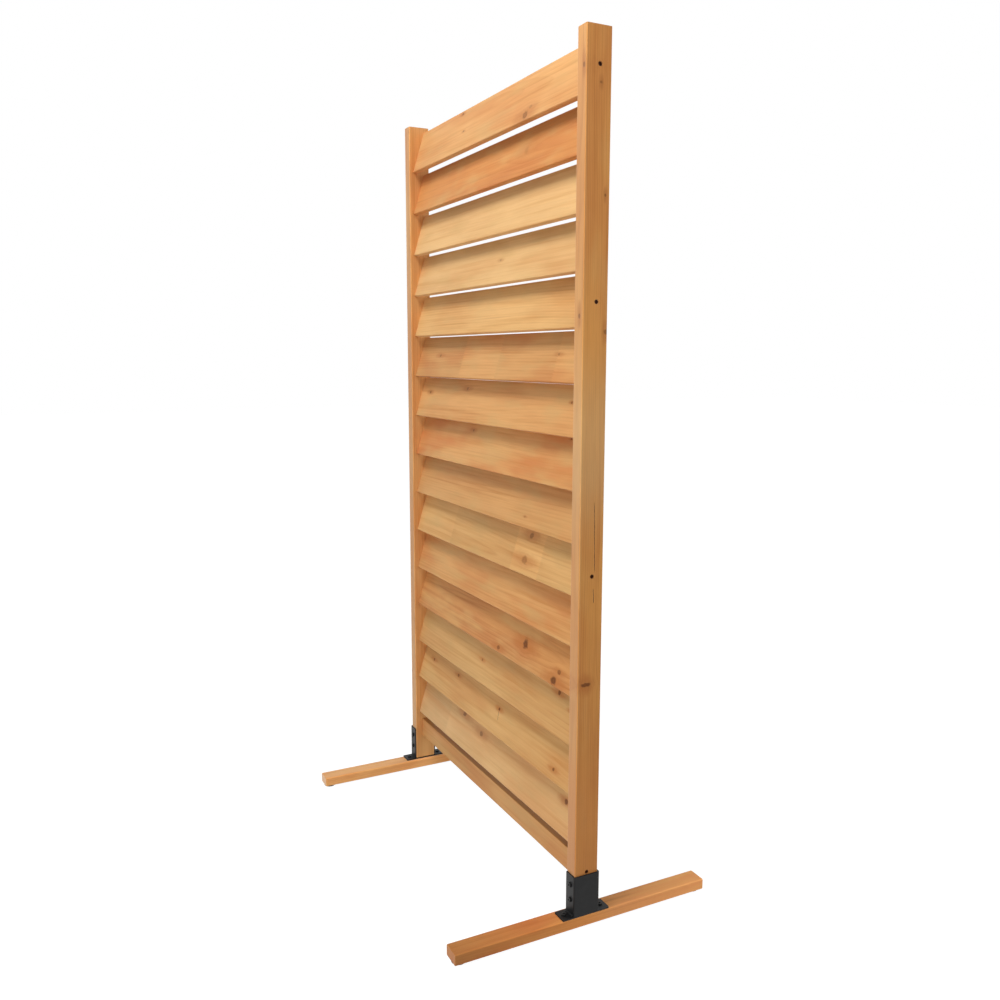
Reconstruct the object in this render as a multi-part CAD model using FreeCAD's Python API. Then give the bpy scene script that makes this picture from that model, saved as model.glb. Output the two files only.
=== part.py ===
import FreeCAD, Part

import math
import os
from collections import namedtuple

# Garden privacy screen: two timber posts with fifteen fixed louvres and a bottom rail between them.
# Each post stands in a steel bracket that is screwed on a flat timber foot.
# Millimetres, +Z up, the front of the screen faces -Y. The floor is Z = 0.
# The origin lies on the floor, halfway between the feet and halfway along them.

Vector = FreeCAD.Vector

# Posts
overall_height = 1805.0
post_spacing = 888.0
post_width = 32.0
post_depth = 56.0
post_centre_y = -3.0
post_edge_radius = 2.5
post_top_radius = 1.5

# Louvres. They lean back as far as the depth of the posts lets them, and share the height evenly.
louvre_count = 15
louvre_width = 108.5
louvre_thickness = 13.5
louvre_edge_radius = 2.5
louvre_front_margin = 10.5
louvre_back_margin = 1.75
louvre_top_margin = 13.2
louvre_rail_gap = 18.6

# Bottom rail
rail_height = 52.0
rail_thickness = 20.0
rail_underside_height = 100.0
rail_set_back = 19.0
rail_edge_radius = 2.0

# Housings in the posts
housing_depth = 8.0
housing_clearance = 0.3

# Feet
foot_length = 615.0
foot_width = 43.0
foot_height = 24.5
foot_edge_radius = 3.0
foot_end_radius = 1.5

# Glides under the feet
glide_radius = 15.0
glide_height = 5.0
glide_edge_radius = 1.0
glide_inset = 17.0
glide_recess_radius = 4.6
glide_recess_depth = 2.6

# Post brackets
steel_thickness = 3.0
bracket_height = 88.5
flange_set_back = 2.3
plate_length = 115.0
plate_overhang = 0.7
plate_corner_radius = 3.0
bend_radius = 3.5
bracket_clearance = 0.3
bracket_screw_top_margin = 22.5
bracket_screw_spacing = 33.5

# Screws. A pilot hole in timber fits the shank closely, a hole in steel has a little play.
ScrewSize = namedtuple("ScrewSize", "head_radius head_height head_round shank_radius socket socket_depth")
screw_hole_clearance = 0.1
steel_hole_clearance = 0.35
pilot_end_clearance = 1.0
screw_point_slope = 1.5
screw_tip_radius = 0.5

post_screw = ScrewSize(head_radius=4.2, head_height=3.0, head_round=0.4,
                       shank_radius=2.5, socket=4.0, socket_depth=2.0)
post_screw_length = 62.0
post_screw_recess = 1.2
post_screw_recess_clearance = 0.3
post_screw_below_middle = 2.75
post_screw_forward = 1.5
screwed_louvres = (1, louvre_count // 3, 2 * louvre_count // 3)

flange_screw = ScrewSize(head_radius=5.5, head_height=3.2, head_round=1.4,
                         shank_radius=2.4, socket=4.0, socket_depth=1.9)
flange_screw_length = 23.0
base_screw_length = 20.0

glide_screw = ScrewSize(head_radius=3.8, head_height=1.8, head_round=0.3,
                        shank_radius=1.8, socket=2.5, socket_depth=1.1)
glide_screw_length = 16.0

# Places that follow from the sizes
foot_bottom = glide_height
foot_top = foot_bottom + foot_height
plate_top = foot_top + steel_thickness
bracket_top = plate_top + bracket_height
post_front = post_centre_y - post_depth / 2
post_back = post_centre_y + post_depth / 2
post_inner_x = post_spacing / 2 - post_width / 2
post_outer_x = post_spacing / 2 + post_width / 2
web_inner_x = post_outer_x + bracket_clearance
web_outer_x = web_inner_x + steel_thickness
flange_inner_x = post_inner_x + flange_set_back
plate_inner_x = post_inner_x - plate_overhang
flange_front = post_front - bracket_clearance - steel_thickness
flange_back = post_back + bracket_clearance + steel_thickness
foot_centre_x = web_outer_x - foot_width / 2
housing_end_x = post_inner_x + housing_depth
board_half_length = housing_end_x - housing_clearance
rail_front = post_front + rail_set_back
rail_top = rail_underside_height + rail_height
screw_seat_x = post_outer_x - post_screw_recess - post_screw.head_height
louvre_run = post_depth - louvre_front_margin - louvre_back_margin
louvre_diagonal = math.hypot(louvre_width, louvre_thickness)
louvre_tilt = math.asin(louvre_run / louvre_diagonal) - math.atan(louvre_thickness / louvre_width)
top_louvre_height = overall_height - louvre_top_margin - louvre_width * math.cos(louvre_tilt)
bottom_louvre_height = rail_top + louvre_rail_gap + louvre_thickness * math.sin(louvre_tilt)
louvre_pitch = (top_louvre_height - bottom_louvre_height) / (louvre_count - 1)

AXIS_X = Vector(1, 0, 0)
AXIS_Y = Vector(0, 1, 0)
AXIS_Z = Vector(0, 0, 1)


def edges_along(shape, axis):
    """The straight edges of a box-like shape that run along one axis."""
    found = []
    for edge in shape.Edges:
        start = edge.Vertexes[0].Point
        end = edge.Vertexes[-1].Point
        if (end - start).cross(axis).Length < 1e-6:
            found.append(edge)
    return found


def edges_at(shape, axis, level):
    """The edges that lie wholly in the plane at a level along one axis."""
    found = []
    for edge in shape.Edges:
        if all(abs(vertex.Point.dot(axis) - level) < 1e-6 for vertex in edge.Vertexes):
            found.append(edge)
    return found


def box_between(low, high):
    """A box from its lowest to its highest corner."""
    size = high - low
    return Part.makeBox(size.x, size.y, size.z, low)


def mirrored(shape):
    """The same shape on the left side of the screen."""
    return shape.mirror(Vector(0, 0, 0), AXIS_X)


def hex_socket(across_flats, depth, mouth, direction):
    """A six-sided key socket that goes from its mouth along a direction."""
    corner_radius = across_flats / math.sqrt(3.0)
    placement = FreeCAD.Placement(mouth, FreeCAD.Rotation(AXIS_Z, direction))
    corners = []
    for step in range(7):
        angle = math.radians(60.0 * step)
        corner = Vector(corner_radius * math.cos(angle), corner_radius * math.sin(angle), 0)
        corners.append(placement.multVec(corner))
    face = Part.Face(Part.makePolygon(corners))
    return face.extrude(direction * depth)


def screw(size, length, seat, direction):
    """A screw whose head bears at the seat and whose shank runs along a direction."""
    head = Part.makeCylinder(size.head_radius, size.head_height, seat, direction * -1)
    head_face = seat - direction * size.head_height
    rim = [edge for edge in head.Edges if abs((edge.CenterOfMass - head_face).dot(direction)) < 1e-6]
    head = head.makeFillet(size.head_round, rim)
    point_height = size.shank_radius * screw_point_slope
    shank = Part.makeCylinder(size.shank_radius, length - point_height, seat, direction)
    point_base = seat + direction * (length - point_height)
    point = Part.makeCone(size.shank_radius, screw_tip_radius, point_height, point_base, direction)
    body = head.fuse(shank).fuse(point).removeSplitter()
    return body.cut(hex_socket(size.socket, size.socket_depth, head_face, direction))


def pilot_hole(mouth, direction, shank_radius, depth):
    """The hole in timber that a screw's shank sits in, with room at its point."""
    radius = shank_radius + screw_hole_clearance
    return Part.makeCylinder(radius, depth + pilot_end_clearance, mouth, direction)


# Louvres

def louvre_lower_edge(number):
    """The sharp line of the lower front edge of a louvre, counted from the top."""
    height = top_louvre_height - (number - 1) * louvre_pitch
    return Vector(0, post_front + louvre_front_margin, height)


def louvre_blank(number, half_length, margin):
    """A louvre's solid, or with a margin the housing that takes it."""
    low = Vector(-half_length, -margin, -margin)
    high = Vector(half_length, louvre_thickness + margin, louvre_width + margin)
    blank = box_between(low, high)
    blank = blank.makeFillet(louvre_edge_radius + margin, edges_along(blank, AXIS_X))
    blank.rotate(Vector(0, 0, 0), AXIS_X, -math.degrees(louvre_tilt))
    blank.translate(louvre_lower_edge(number))
    return blank


def louvre_screw_point(number):
    """The point, just below and in front of a louvre's middle, where its end screws go in."""
    along = louvre_width / 2 - post_screw_below_middle
    across = louvre_thickness / 2 - post_screw_forward
    depth = across * math.cos(louvre_tilt) + along * math.sin(louvre_tilt)
    rise = along * math.cos(louvre_tilt) - across * math.sin(louvre_tilt)
    return louvre_lower_edge(number) + Vector(0, depth, rise)


def post_screw_points():
    """Where the screws of one post cross the plane X = 0, from the top down."""
    points = [louvre_screw_point(number) for number in screwed_louvres]
    rail_middle = Vector(0, rail_front + rail_thickness / 2, rail_underside_height + rail_height / 2)
    return points + [rail_middle]


def end_pilots(point):
    """Pilot holes in both ends of a louvre or rail at one screw point."""
    shank_end_x = screw_seat_x - post_screw_length
    depth = board_half_length - shank_end_x
    right = Vector(board_half_length, point.y, point.z)
    hole = pilot_hole(right, AXIS_X * -1, post_screw.shank_radius, depth)
    return [hole, mirrored(hole)]


def louvre(number):
    board = louvre_blank(number, board_half_length, 0.0)
    if number in screwed_louvres:
        board = board.cut(end_pilots(louvre_screw_point(number)))
    return board


# Bottom rail

def rail_blank(half_length, margin):
    """The rail's solid, or with a margin the housing that takes it."""
    low = Vector(-half_length, rail_front - margin, rail_underside_height - margin)
    high = Vector(half_length, rail_front + rail_thickness + margin, rail_top + margin)
    blank = box_between(low, high)
    return blank.makeFillet(rail_edge_radius + margin, edges_along(blank, AXIS_X))


def bottom_rail():
    return rail_blank(board_half_length, 0.0).cut(end_pilots(post_screw_points()[-1]))


# Posts

def post_screw_hole(point):
    """The recessed clearance hole through the right post."""
    head_radius = post_screw.head_radius + post_screw_recess_clearance
    recess_depth = post_screw_recess + post_screw.head_height
    outer = Vector(post_outer_x, point.y, point.z)
    recess = Part.makeCylinder(head_radius, recess_depth, outer, AXIS_X * -1)
    shank_radius = post_screw.shank_radius + screw_hole_clearance
    shank = Part.makeCylinder(shank_radius, post_width, outer, AXIS_X * -1)
    return recess.fuse(shank)


def flange_screw_seats():
    """Seat and direction of the right bracket's screws into the post."""
    middle_x = (flange_inner_x + web_outer_x) / 2
    seats = []
    for step in range(2):
        height = bracket_top - bracket_screw_top_margin - step * bracket_screw_spacing
        seats.append((Vector(middle_x, flange_front, height), AXIS_Y))
        seats.append((Vector(middle_x, flange_back, height), AXIS_Y * -1))
    return seats


def post_right():
    low = Vector(post_inner_x, post_front, plate_top)
    high = Vector(post_outer_x, post_back, overall_height)
    post = box_between(low, high)
    post = post.makeFillet(post_edge_radius, edges_along(post, AXIS_Z))
    post = post.makeFillet(post_top_radius, edges_at(post, AXIS_Z, overall_height))
    cuts = [louvre_blank(number, housing_end_x, housing_clearance) for number in louvre_numbers()]
    cuts.append(rail_blank(housing_end_x, housing_clearance))
    cuts += [post_screw_hole(point) for point in post_screw_points()]
    wall = steel_thickness + bracket_clearance
    for seat, direction in flange_screw_seats():
        mouth = seat + direction * wall
        depth = flange_screw_length - wall
        cuts.append(pilot_hole(mouth, direction, flange_screw.shank_radius, depth))
    return post.cut(cuts)


# Brackets

def base_screw_seats():
    """Seats of the right base plate's screws, on the middle of each tab."""
    middle_x = (plate_inner_x + web_outer_x) / 2
    front_tab = (post_centre_y - plate_length / 2 + flange_front) / 2
    back_tab = (post_centre_y + plate_length / 2 + flange_back) / 2
    return [Vector(middle_x, front_tab, plate_top), Vector(middle_x, back_tab, plate_top)]


def post_bracket_right():
    """Channel that holds the post on three sides, on its base plate."""
    outer_low = Vector(flange_inner_x, flange_front, foot_top)
    outer_high = Vector(web_outer_x, flange_back, bracket_top)
    outer = box_between(outer_low, outer_high)
    outer_bends = [edge for edge in edges_along(outer, AXIS_Z) if edge.CenterOfMass.x > web_inner_x]
    outer = outer.makeFillet(bend_radius, outer_bends)
    inner_low = Vector(flange_inner_x - 1, flange_front + steel_thickness, foot_top - 1)
    inner_high = Vector(web_inner_x, flange_back - steel_thickness, bracket_top + 1)
    inner = box_between(inner_low, inner_high)
    inner_bends = [edge for edge in edges_along(inner, AXIS_Z) if edge.CenterOfMass.x > flange_inner_x]
    inner = inner.makeFillet(bend_radius - steel_thickness, inner_bends)
    channel = outer.cut(inner)
    plate_low = Vector(plate_inner_x, post_centre_y - plate_length / 2, foot_top)
    plate_high = Vector(web_outer_x, post_centre_y + plate_length / 2, plate_top)
    plate = box_between(plate_low, plate_high)
    plate = plate.makeFillet(plate_corner_radius, edges_along(plate, AXIS_Z))
    bracket = channel.fuse(plate).removeSplitter()
    hole_radius = flange_screw.shank_radius + steel_hole_clearance
    cuts = []
    for seat, direction in flange_screw_seats():
        cuts.append(Part.makeCylinder(hole_radius, steel_thickness, seat, direction))
    for seat in base_screw_seats():
        cuts.append(Part.makeCylinder(hole_radius, steel_thickness, seat, AXIS_Z * -1))
    return bracket.cut(cuts)


# Feet and glides

def glide_centres():
    """Centres of the right foot's glides, on the floor."""
    reach = foot_length / 2 - glide_inset
    return [Vector(foot_centre_x, -reach, 0), Vector(foot_centre_x, reach, 0)]


def foot_right():
    low = Vector(foot_centre_x - foot_width / 2, -foot_length / 2, foot_bottom)
    high = Vector(foot_centre_x + foot_width / 2, foot_length / 2, foot_top)
    foot = box_between(low, high)
    foot = foot.makeFillet(foot_edge_radius, edges_along(foot, AXIS_Y))
    ends = edges_at(foot, AXIS_Y, low.y) + edges_at(foot, AXIS_Y, high.y)
    foot = foot.makeFillet(foot_end_radius, ends)
    cuts = []
    for seat in base_screw_seats():
        mouth = seat - AXIS_Z * steel_thickness
        depth = base_screw_length - steel_thickness
        cuts.append(pilot_hole(mouth, AXIS_Z * -1, flange_screw.shank_radius, depth))
    for centre in glide_centres():
        mouth = centre + AXIS_Z * foot_bottom
        depth = glide_recess_depth + glide_screw_length - glide_height
        cuts.append(pilot_hole(mouth, AXIS_Z, glide_screw.shank_radius, depth))
    return foot.cut(cuts)


def glide(centre):
    body = Part.makeCylinder(glide_radius, glide_height, centre)
    body = body.makeFillet(glide_edge_radius, edges_at(body, AXIS_Z, 0.0))
    recess = Part.makeCylinder(glide_recess_radius, glide_recess_depth, centre)
    hole_radius = glide_screw.shank_radius + screw_hole_clearance
    hole = Part.makeCylinder(hole_radius, glide_height, centre)
    return body.cut([recess, hole])


# Screws of the right side

def post_screws():
    screws = []
    for point in post_screw_points():
        seat = Vector(screw_seat_x, point.y, point.z)
        screws.append(screw(post_screw, post_screw_length, seat, AXIS_X * -1))
    return Part.makeCompound(screws)


def bracket_screws():
    return Part.makeCompound([screw(flange_screw, flange_screw_length, seat, direction)
                              for seat, direction in flange_screw_seats()])


def base_screws():
    return Part.makeCompound([screw(flange_screw, base_screw_length, seat, AXIS_Z * -1)
                              for seat in base_screw_seats()])


def glide_screws():
    screws = []
    for centre in glide_centres():
        seat = centre + AXIS_Z * glide_recess_depth
        screws.append(screw(glide_screw, glide_screw_length, seat, AXIS_Z))
    return Part.makeCompound(screws)


def louvre_numbers():
    return range(1, louvre_count + 1)


def build():
    """Every node's shape under its name."""
    nodes = {"bottom_rail": bottom_rail()}
    for number in louvre_numbers():
        nodes[f"louvre_{number:02d}"] = louvre(number)
    right_side = {
        "post": post_right(),
        "post_bracket": post_bracket_right(),
        "foot": foot_right(),
        "foot_glides": Part.makeCompound([glide(centre) for centre in glide_centres()]),
        "post_screws": post_screws(),
        "bracket_screws": bracket_screws(),
        "base_screws": base_screws(),
        "glide_screws": glide_screws(),
    }
    for name, shape in right_side.items():
        nodes[f"{name}_right"] = shape
        nodes[f"{name}_left"] = mirrored(shape)
    return nodes


os.makedirs("parts", exist_ok=True)
for node_name, node_shape in build().items():
    node_shape.exportStep(f"parts/{node_name}.step")
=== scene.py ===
"""Looks of a garden privacy screen: softwood louvres between two posts, on steel brackets and feet."""

import logging
import math
from dataclasses import dataclass
from enum import Enum
from functools import cached_property
from typing import Callable, Sequence

import bmesh
import bpy
from mathutils import Matrix, Vector, noise


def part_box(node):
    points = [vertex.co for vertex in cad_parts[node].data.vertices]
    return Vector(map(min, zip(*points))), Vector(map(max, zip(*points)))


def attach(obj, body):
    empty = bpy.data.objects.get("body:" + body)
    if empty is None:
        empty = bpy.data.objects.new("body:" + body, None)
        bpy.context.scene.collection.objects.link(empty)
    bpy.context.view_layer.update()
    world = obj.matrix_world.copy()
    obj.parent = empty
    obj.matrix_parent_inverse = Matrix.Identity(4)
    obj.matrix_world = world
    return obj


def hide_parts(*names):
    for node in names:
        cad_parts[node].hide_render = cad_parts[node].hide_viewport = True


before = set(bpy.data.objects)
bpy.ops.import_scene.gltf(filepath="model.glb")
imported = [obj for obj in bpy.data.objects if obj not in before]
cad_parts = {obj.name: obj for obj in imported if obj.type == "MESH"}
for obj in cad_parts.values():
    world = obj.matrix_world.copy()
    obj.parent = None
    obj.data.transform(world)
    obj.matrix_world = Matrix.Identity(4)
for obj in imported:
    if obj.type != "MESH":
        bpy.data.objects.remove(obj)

log = logging.getLogger("privacy_screen")

MM = 0.001
HAIR = 0.001 * MM
GRAIN = "grain"
ORIGIN, X, Y, Z = Vector((0, 0, 0)), Vector((1, 0, 0)), Vector((0, 1, 0)), Vector((0, 0, 1))
Colour = tuple[float, float, float, float]
Socket = bpy.types.NodeSocket
Piece = bpy.types.Object
EdgeTest = Callable[[Vector, Vector], bool]


def stain(red: int, green: int, blue: int) -> Colour:
    """A colour as a scene-linear value.

    Args:
        red: Red on the usual 0 to 255 scale.
        green: Green on the same scale.
        blue: Blue on the same scale.

    Returns:
        The linear colour with full alpha.
    """
    parts = [value / 255 for value in (red, green, blue)]
    linear = [p / 12.92 if p <= 0.04045 else ((p + 0.055) / 1.055) ** 2.4 for p in parts]
    return (linear[0], linear[1], linear[2], 1.0)


# ---------------------------------------------------------------- finishes

class NodeSheet:
    """The nodes of a material or of the world, added and linked one step at a time."""

    def __init__(self, owner: bpy.types.Material | bpy.types.World) -> None:
        """Starts with no nodes.

        Args:
            owner: The material or world that the nodes belong to.
        """
        owner.use_nodes = True
        self.tree = owner.node_tree
        self.tree.nodes.clear()

    @classmethod
    def material(cls, name: str) -> tuple["NodeSheet", bpy.types.Material]:
        """Starts a new material, and gives its nodes and the material."""
        made = bpy.data.materials.new(name)
        return cls(made), made

    def node(self, kind: str, inputs: dict[int | str, object] | None = None,
             **settings: object) -> bpy.types.Node:
        """Adds a node and feeds it.

        Args:
            kind: The node's type name.
            inputs: An output to link or a constant for each input, by its number or name.
            **settings: Properties to set on the node.

        Returns:
            The new node.
        """
        made = self.tree.nodes.new(kind)
        for key, value in settings.items():
            setattr(made, key, value)
        for key, value in (inputs or {}).items():
            if isinstance(value, Socket):
                self.tree.links.new(value, made.inputs[key])
            else:
                made.inputs[key].default_value = value
        return made

    def maths(self, operation: str, *values: object, clamp: bool = False) -> Socket:
        """The result of a Math node, held between 0 and 1 if it is clamped."""
        inputs = dict(enumerate(values))
        return self.node("ShaderNodeMath", inputs, operation=operation, use_clamp=clamp).outputs[0]

    def vector(self, operation: str, *values: object) -> Socket:
        """The vector from a Vector Math node, or the number where its operation gives one."""
        made = self.node("ShaderNodeVectorMath", dict(enumerate(values)), operation=operation)
        return made.outputs["Value" if operation in ("LENGTH", "DOT_PRODUCT") else "Vector"]

    def part(self, vector: Socket, axis: int) -> Socket:
        """One component of a vector."""
        return self.node("ShaderNodeSeparateXYZ", {0: vector}).outputs[axis]

    def remap(self, value: Socket, start: float, end: float, low: float = 0.0,
              high: float = 1.0) -> Socket:
        """A smooth step that is low before the start and high after the end."""
        inputs = dict(enumerate((value, start, end, low, high)))
        return self.node("ShaderNodeMapRange", inputs, interpolation_type="SMOOTHSTEP").outputs[0]

    def noise(self, place: Socket, scale: float = 1.0, detail: float = 2.0,
              roughness: float = 0.5) -> tuple[Socket, ...]:
        """The value and the colour of a noise; detail counts its finer layers."""
        inputs = {"Vector": place, "Scale": scale, "Detail": detail, "Roughness": roughness}
        return tuple(self.node("ShaderNodeTexNoise", inputs).outputs)

    def blend(self, share: Socket, first: Socket | Colour, second: Socket | Colour) -> Socket:
        """A mix of two colours; the share says how much of the second shows."""
        return self.node("ShaderNodeMix", {0: share, 6: first, 7: second}, data_type="RGBA").outputs[2]

    def scaled(self, colour: Socket, factor: Socket) -> Socket:
        """A colour made lighter or darker by a factor."""
        return self.node("ShaderNodeVectorMath", {0: colour, "Scale": factor}, operation="SCALE").outputs[0]

    def ramp(self, value: Socket, stops: Sequence[tuple[float, float]]) -> Socket:
        """A grey colour ramp.

        Args:
            value: The input.
            stops: Places and grey levels, in order.

        Returns:
            The grey level.
        """
        made = self.node("ShaderNodeValToRGB", {0: value})
        elements = made.color_ramp.elements
        while len(elements) < len(stops):
            elements.new(1.0)
        for element, (place, level) in zip(elements, stops):
            element.position = place
            element.color = (level, level, level, 1.0)
        return made.outputs[0]

    def surface(self, colour: Socket, roughness: Socket, bump: Socket, depth: float,
                specular: float = 0.5, sheen: float = 0.0) -> None:
        """Ends the material in one Principled shader with a bump.

        Args:
            colour: The base colour.
            roughness: The roughness.
            bump: The height for the bump.
            depth: How deep the full height is, in metres.
            specular: The specular level.
            sheen: How much fine dust or fibre pales it at a flat angle.
        """
        relief = self.node("ShaderNodeBump", {"Strength": 1.0, "Distance": depth, "Height": bump})
        inputs = {"Base Color": colour, "Roughness": roughness, "Normal": relief.outputs[0],
                  "Specular IOR Level": specular, "Sheen Weight": sheen, "Sheen Roughness": 0.4}
        self.end("ShaderNodeOutputMaterial", self.node("ShaderNodeBsdfPrincipled", inputs).outputs[0])

    def shader(self, kind: str, **inputs: object) -> Socket:
        """A plain shader, fed by the names of its inputs."""
        return self.node(kind, inputs).outputs[0]

    def seen_as(self, lighting: Socket, seen: Socket) -> Socket:
        """Parts what lights the screen from what the camera, shiny metal and glass see.

        Args:
            lighting: The shader that lights the screen.
            seen: The shader that is seen.

        Returns:
            The two shaders in one.
        """
        rays = self.node("ShaderNodeLightPath").outputs
        share = rays["Is Camera Ray"]
        for ray in ("Is Glossy Ray", "Is Transmission Ray"):
            share = self.maths("MAXIMUM", share, rays[ray])
        return self.node("ShaderNodeMixShader", {0: share, 1: lighting, 2: seen}).outputs[0]

    def end(self, kind: str, surface: Socket) -> None:
        """Ends the nodes in an output."""
        self.node(kind, {"Surface": surface})


@dataclass(frozen=True)
class WoodTones:
    """The colours of one stained board: early wood, late wood and redder patches."""

    pale: Colour
    deep: Colour
    blush: Colour


class Stain(Enum):
    """The tones that the same stain takes on different boards."""

    HONEY = WoodTones(stain(235, 176, 112), stain(206, 136, 72), stain(224, 142, 80))
    STRAW = WoodTones(stain(238, 187, 122), stain(212, 150, 84), stain(228, 156, 90))
    CREAM = WoodTones(stain(239, 192, 131), stain(216, 157, 94), stain(230, 161, 98))
    ORANGE = WoodTones(stain(226, 152, 84), stain(202, 120, 60), stain(214, 118, 64))
    RUSSET = WoodTones(stain(216, 154, 92), stain(184, 112, 60), stain(202, 112, 64))
    AMBER = WoodTones(stain(230, 160, 84), stain(196, 118, 56), stain(212, 122, 58))


class KnotAxis(Enum):
    """Which way a branch went through the board."""

    THROUGH = (0.0, 1.0, 0.0)
    ACROSS = (0.0, 0.0, 1.0)


@dataclass(frozen=True)
class Knot:
    """A knot, in millimetres from the middle of its board.

    Attributes:
        along: Its place along the grain.
        aside: Its place across the grain.
        radius: Half its size across the grain.
        stretch: How much longer than wide it is.
        dark: How dark it is, from 0 to 1.
        axis: Which way it goes through the board.
        bark: How strong its dark rim is, from 0 to 1.
    """

    along: float
    aside: float
    radius: float
    stretch: float = 1.2
    dark: float = 0.6
    axis: KnotAxis = KnotAxis.THROUGH
    bark: float = 0.5


@dataclass(frozen=True)
class Check:
    """A fine drying crack in one face, in millimetres from the middle of its board.

    Attributes:
        start: Where it starts, along and across the grain.
        end: Where it ends.
        width: Half its width.
    """

    start: tuple[float, float]
    end: tuple[float, float]
    width: float = 0.7


@dataclass(frozen=True)
class ToneBand:
    """A band of another colour in a board, used for sapwood, heartwood and painted light.

    Attributes:
        axis: The direction in which it lies: 0 along, 1 across and 2 through.
        start: Where it begins, in millimetres from the middle.
        end: Where it shows fully.
        share: How strongly it shows, from 0 to 1.
        sway: How far its edge wanders, in millimetres.
        fade: Where it begins to fade again and where it has gone, if it does.
        colour: Its colour.
    """

    axis: int
    start: float
    end: float
    share: float
    sway: float = 0.0
    fade: tuple[float, float] | None = None
    colour: Colour = stain(240, 198, 140)


@dataclass(frozen=True)
class FingerJoint:
    """A glued joint between two lengths of a board.

    Attributes:
        along: Its place along the board, in millimetres from the middle.
        tone: How much lighter the length beyond it is.
    """

    along: float
    tone: float


@dataclass(frozen=True)
class Timber:
    """Oiled softwood with growth rings that run through the whole board.

    Attributes:
        tones: Its stain.
        knot_rim, knot_heart, halo_colour: The colours of a knot's rim, its inside and the wood round it.
        fleck_colour, crack_colour, cool, painted_top_shade_colour: Those of resin, cracks, pale clouds and
        the painted shade on the upper narrow face.
        ring_width: The distance between rings, in millimetres.
        pith: The heart of the log beside the board, across and through, in millimetres.
        contrast, fleck, redness, smoke: How strongly rings, resin, red patches and pale clouds show.
        tone: The lightness of the whole piece.
        drift: How much lighter its far end is than its near end.
        edge_lift: How much lighter the rounded edges are, partly sanded wear and partly a painted highlight.
        bloom: How much the dry stain pales it at a flat angle.
        painted_top_shade: How strongly painted shade darkens the upper narrow face.
        end_tone: The lightness of the end grain.
        relief, gloss: How deep its grain is, in metres, and how much it shines.
        seed: Where in the noise the piece is cut.
        knots, joints, checks, bands: Its knots, finger joints, cracks and bands of another colour, some of
            them painted light.
    """

    tones: Stain = Stain.HONEY
    knot_rim: Colour = stain(66, 30, 2)
    knot_heart: Colour = stain(118, 62, 10)
    halo_colour: Colour = stain(190, 112, 54)
    fleck_colour: Colour = stain(178, 100, 46)
    crack_colour: Colour = stain(62, 34, 16)
    cool: Colour = stain(222, 176, 114)
    painted_top_shade_colour: Colour = stain(140, 78, 14)
    ring_width: float = 6.0
    pith: tuple[float, float] = (12.0, -30.0)
    contrast: float = 0.32
    fleck: float = 0.24
    redness: float = 0.3
    smoke: float = 0.5
    tone: float = 1.0
    drift: float = 0.0
    edge_lift: float = 0.2
    bloom: float = 0.15
    painted_top_shade: float = 0.0
    end_tone: float = 0.95
    relief: float = 0.15 * MM
    gloss: float = 0.12
    seed: float = 0.0
    knots: tuple[Knot, ...] = ()
    joints: tuple[FingerJoint, ...] = ()
    checks: tuple[Check, ...] = ()
    bands: tuple[ToneBand, ...] = ()

    def material(self, name: str, half: Vector, edge_radius: float) -> bpy.types.Material:
        """Builds the material for one piece.

        Args:
            name: The material's name.
            half: Half the piece's size along, across and through.
            edge_radius: The radius of its eased edges.

        Returns:
            The material, which reads the piece's grain attribute.
        """
        made = bpy.data.materials.new(name)
        WoodSheet(made, self, half, edge_radius).paint()
        return made


@dataclass(frozen=True)
class Figure:
    """A noise that is drawn out along the grain.

    Attributes:
        along, aside: Its scales along the grain and across it.
        step: How far its place in the noise is moved from the other layers' places.
        detail, roughness: How many finer layers it has and how strong they are.
    """

    along: float
    aside: float
    step: float
    detail: float = 2.0
    roughness: float = 0.5


class Layer(Enum):
    """The layers that make up the figure of the wood."""

    DRIFT = Figure(1.1, 2.0, 1.0, detail=1.0)
    SHAKE = Figure(6.0, 60.0, 2.0)
    WANDER = Figure(60.0, 160.0, 3.0)
    FIBRES = Figure(22.0, 700.0, 5.0, detail=4.0, roughness=0.65)
    STREAKS = Figure(3.0, 110.0, 7.0, detail=3.0)
    PATCHES = Figure(4.0, 15.0, 11.0)
    FLECKS = Figure(2.2, 200.0, 13.0)
    CLOUDS = Figure(7.0, 24.0, 17.0)


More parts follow.
